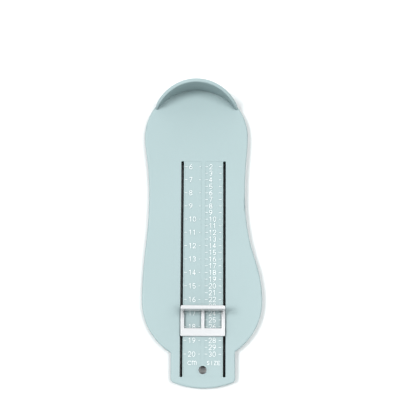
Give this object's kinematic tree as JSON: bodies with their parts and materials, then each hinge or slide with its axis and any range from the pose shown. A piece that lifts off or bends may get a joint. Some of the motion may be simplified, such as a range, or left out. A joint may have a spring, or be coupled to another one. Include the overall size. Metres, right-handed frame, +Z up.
{
  "type": "foot measuring device",
  "caption": "Baby foot gauge: hollow foot-shaped plate with a raised heel cup, cm and size scales, and a windowed toe stop sliding in two slots.",
  "frame": {"origin": "under the middle of the outline, on the surface that the gauge stands on", "axes": "+Y towards the heel cup along the scales, +Z up, +X to the right of someone who reads the scales from the toe end"},
  "size_m": [0.0888, 0.227, 0.0314],
  "materials": {
    "base_plastic": "pale blue satin ABS, injection moulded",
    "slider_plastic": "glossy white ABS, injection moulded",
    "mark_white": "white stamped marks"
  },
  "bodies": {
    "base": {"base_plate": "base_plastic", "cm_numerals": "mark_white", "cm_ticks": "mark_white", "cm_caption": "mark_white", "size_numerals": "mark_white", "size_ticks": "mark_white", "size_caption": "mark_white"},
    "slider": {"slider": "slider_plastic"}
  },
  "joints": [
    {"name": "slider_travel", "type": "slide", "parent": "base", "child": "slider", "axis": [0, 1, 0], "range_m": [-0.0357, 0.1104]}
  ]
}
